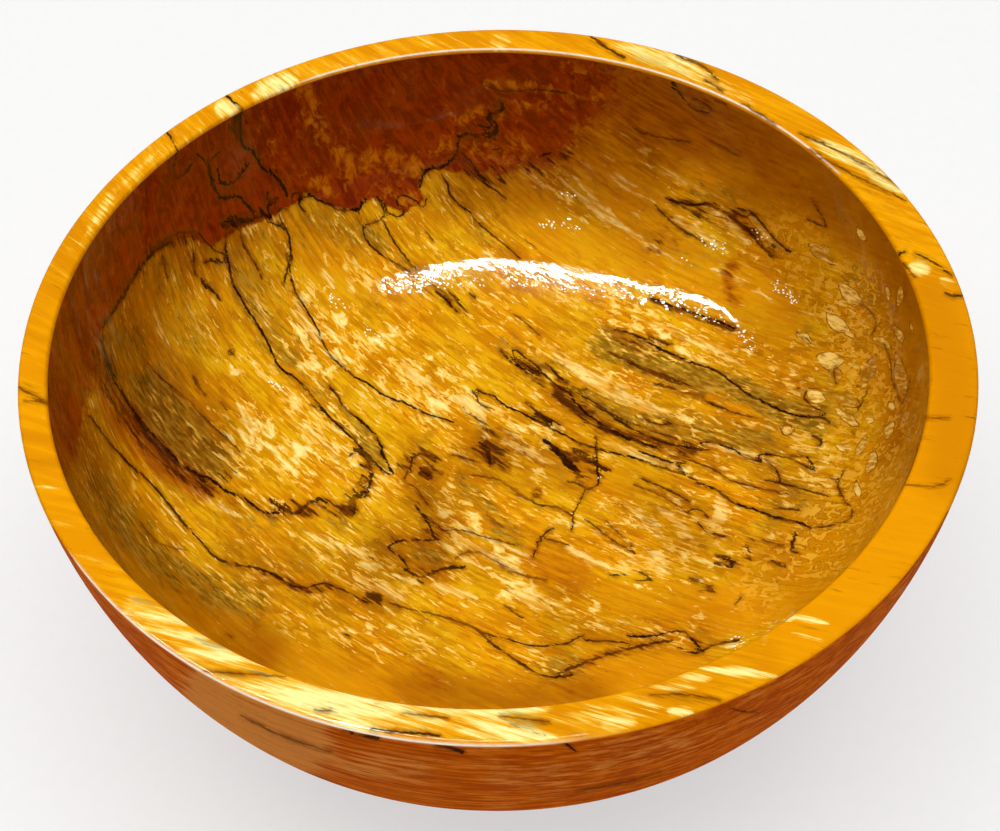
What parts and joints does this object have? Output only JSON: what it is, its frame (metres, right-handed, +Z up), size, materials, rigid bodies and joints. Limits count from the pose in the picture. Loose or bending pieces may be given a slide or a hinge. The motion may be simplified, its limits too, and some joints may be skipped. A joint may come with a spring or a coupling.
{
  "type": "bead spinner",
  "caption": "Turned wooden bowl on a ball-bearing stand that is spun by its rim to string beads onto a needle.",
  "frame": {"origin": "on the table under the four rubber feet, on the axis of spin", "axes": "+Z up along the axis of spin; +X towards the side where the rim is widest; the picture is taken from -Y"},
  "size_m": [0.2, 0.2, 0.0855],
  "materials": {
    "spalted_wood": "gloss lacquer",
    "stand_wood": "satin lacquer",
    "turned_steel": "turned",
    "screw_steel": "zinc plated",
    "bearing_steel": "ground and polished",
    "shield_steel": "pressed sheet",
    "spring_steel": "phosphated black",
    "cage_plastic": "moulded nylon",
    "foot_rubber": "matt moulded"
  },
  "bodies": {
    "stand_body": {"stand": "stand_wood", "bearing_outer_ring": "bearing_steel", "upper_shield": "shield_steel", "lower_shield": "shield_steel", "bearing_cover": "turned_steel", "cover_screws": "screw_steel", "rubber_feet": "foot_rubber", "foot_screws": "screw_steel"},
    "bowl_body": {"bowl": "spalted_wood", "spindle": "turned_steel", "flange_screws": "screw_steel", "bearing_inner_ring": "bearing_steel", "shim_washer": "turned_steel", "retaining_ring": "spring_steel"},
    "cage_body": {"bearing_cage": "cage_plastic", "bearing_balls": "bearing_steel"}
  },
  "joints": [
    {"name": "bowl_spin", "type": "hinge", "parent": "stand_body", "child": "bowl_body", "pos_m": [0, 0, 0.0143], "axis": [0, 0, 1], "continuous": true},
    {"name": "cage_spin", "type": "hinge", "parent": "stand_body", "child": "cage_body", "pos_m": [0, 0, 0.0143], "axis": [0, 0, 1], "continuous": true}
  ],
  "couplings": [
    {"joint": "cage_spin", "follows": "bowl_spin", "ratio": 0.3677}
  ]
}
